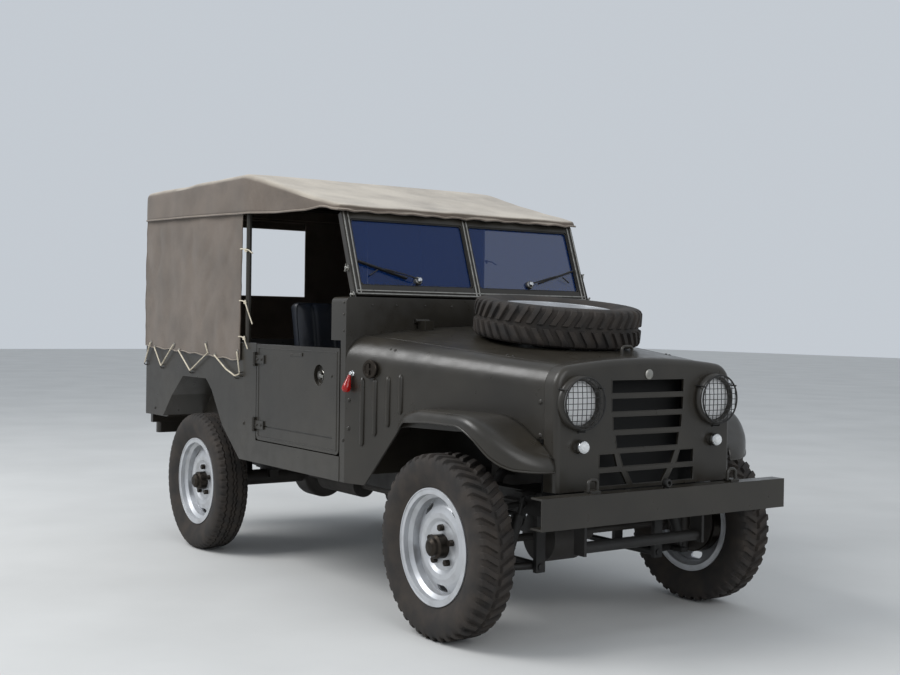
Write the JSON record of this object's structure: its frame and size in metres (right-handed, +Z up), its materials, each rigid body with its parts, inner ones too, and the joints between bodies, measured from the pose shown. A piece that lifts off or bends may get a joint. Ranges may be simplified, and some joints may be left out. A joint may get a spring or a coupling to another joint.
{
  "type": "army 4x4 car",
  "caption": "Open army four-wheel-drive car with a canvas top on bows, side doors hinged at the rear, slotted front panel and spare wheel lying on the bonnet",
  "frame": {"origin": "on the ground under the middle of the overall length and width", "axes": "+X forward, +Y to the vehicle's left, +Z up"},
  "size_m": [3.52, 1.5202, 1.8839],
  "materials": {
    "body_paint": "dark olive drab paint, half gloss",
    "frame_paint": "black chassis paint",
    "cast_iron": "painted casting",
    "spring_steel": "dull dark steel",
    "tyre_rubber": "dusty black rubber",
    "wheel_paint": "silver paint",
    "lamp_glass": "clear ribbed lens over a reflector",
    "lamp_red": "coloured lens",
    "screen_glass": "clear flat glass",
    "seat_vinyl": "dark blue leathercloth",
    "black_plastic": "black moulded rim",
    "canvas": "proofed cotton canvas, taupe"
  },
  "bodies": {
    "chassis": {"chassis_frame": "frame_paint", "cross_members": "frame_paint", "front_bumper": "body_paint", "rear_bumpers": "body_paint", "wishbones": "frame_paint", "dampers": "frame_paint", "steering_column": "frame_paint", "front_axle": "cast_iron", "rear_axle": "cast_iron", "leaf_springs": "spring_steel", "powertrain": "cast_iron", "propshafts": "frame_paint", "radiator": "frame_paint", "fuel_tank": "frame_paint", "exhaust": "spring_steel", "floor": "body_paint", "wheelhouses": "body_paint", "body_sides": "body_paint", "scuttle": "body_paint", "bonnet_sides": "body_paint", "front_panel": "body_paint", "headlamps": "lamp_glass", "headlamp_guards": "body_paint", "small_lamps": "lamp_red", "front_wings": "body_paint", "windscreen_frame": "body_paint", "windscreen_glass": "screen_glass", "wipers": "frame_paint", "seat_bases": "body_paint", "seats": "seat_vinyl", "levers": "frame_paint", "hood_bows": "body_paint", "canvas_roof": "canvas", "canvas_sides": "canvas"},
    "wheel_front_right": {"tyre_front_right": "tyre_rubber", "wheel_front_right": "wheel_paint", "hub_front_right": "cast_iron"},
    "wheel_front_left": {"tyre_front_left": "tyre_rubber", "wheel_front_left": "wheel_paint", "hub_front_left": "cast_iron"},
    "wheel_rear_right": {"tyre_rear_right": "tyre_rubber", "wheel_rear_right": "wheel_paint", "hub_rear_right": "cast_iron"},
    "wheel_rear_left": {"tyre_rear_left": "tyre_rubber", "wheel_rear_left": "wheel_paint", "hub_rear_left": "cast_iron"},
    "knuckle_right": {"knuckle_right": "cast_iron"},
    "knuckle_left": {"knuckle_left": "cast_iron"},
    "track_rod": {"track_rod": "frame_paint"},
    "pitman_arm": {"pitman_arm": "frame_paint"},
    "steering_wheel": {"steering_wheel": "black_plastic"},
    "door_right": {"door_right": "body_paint"},
    "door_left": {"door_left": "body_paint"},
    "bonnet": {"bonnet": "body_paint", "spare_tyre": "tyre_rubber", "spare_wheel": "wheel_paint"},
    "tailgate": {"tailgate": "body_paint"}
  },
  "joints": [
    {"name": "steer_left", "type": "hinge", "parent": "chassis", "child": "knuckle_left", "pos_m": [1.242, 0.585, 0.35], "axis": [0, 0, 1], "range_deg": [-28, 28]},
    {"name": "steer_right", "type": "hinge", "parent": "chassis", "child": "knuckle_right", "pos_m": [1.242, -0.585, 0.35], "axis": [0, 0, 1], "range_deg": [-28, 28]},
    {"name": "track_rod_swing", "type": "hinge", "parent": "knuckle_left", "child": "track_rod", "pos_m": [1.062, 0.585, 0.425], "axis": [0, 0, 1], "range_deg": [-28, 28]},
    {"name": "pitman_swing", "type": "hinge", "parent": "chassis", "child": "pitman_arm", "pos_m": [1.242, 0.198, 0.4], "axis": [0, 0, 1], "range_deg": [-28, 28]},
    {"name": "steering_turn", "type": "hinge", "parent": "chassis", "child": "steering_wheel", "pos_m": [0.32, 0.345, 1.08], "axis": [-0.8727, 0.1431, 0.4668], "range_deg": [-336, 336]},
    {"name": "spin_front_left", "type": "hinge", "parent": "knuckle_left", "child": "wheel_front_left", "pos_m": [1.242, 0.67, 0.35], "axis": [0, 1, 0], "continuous": true},
    {"name": "spin_front_right", "type": "hinge", "parent": "knuckle_right", "child": "wheel_front_right", "pos_m": [1.242, -0.67, 0.35], "axis": [0, 1, 0], "continuous": true},
    {"name": "spin_rear_left", "type": "hinge", "parent": "chassis", "child": "wheel_rear_left", "pos_m": [-0.958, 0.67, 0.35], "axis": [0, 1, 0], "continuous": true},
    {"name": "spin_rear_right", "type": "hinge", "parent": "chassis", "child": "wheel_rear_right", "pos_m": [-0.958, -0.67, 0.35], "axis": [0, 1, 0], "continuous": true},
    {"name": "door_right_swing", "type": "hinge", "parent": "chassis", "child": "door_right", "pos_m": [-0.293, -0.729, 0.85], "axis": [0, 0, -1], "range_deg": [0, 80]},
    {"name": "door_left_swing", "type": "hinge", "parent": "chassis", "child": "door_left", "pos_m": [-0.293, 0.729, 0.85], "axis": [0, 0, 1], "range_deg": [0, 80]},
    {"name": "bonnet_lift", "type": "hinge", "parent": "chassis", "child": "bonnet", "pos_m": [0.567, 0, 1.196], "axis": [0, -1, 0], "range_deg": [0, 50]},
    {"name": "tailgate_drop", "type": "hinge", "parent": "chassis", "child": "tailgate", "pos_m": [-1.712, 0, 0.652], "axis": [0, -1, 0], "range_deg": [0, 90]}
  ],
  "couplings": [
    {"joint": "steer_right", "follows": "steer_left", "ratio": 1},
    {"joint": "track_rod_swing", "follows": "steer_left", "ratio": -1},
    {"joint": "pitman_swing", "follows": "steer_left", "ratio": 1},
    {"joint": "steering_turn", "follows": "steer_left", "ratio": 12}
  ]
}
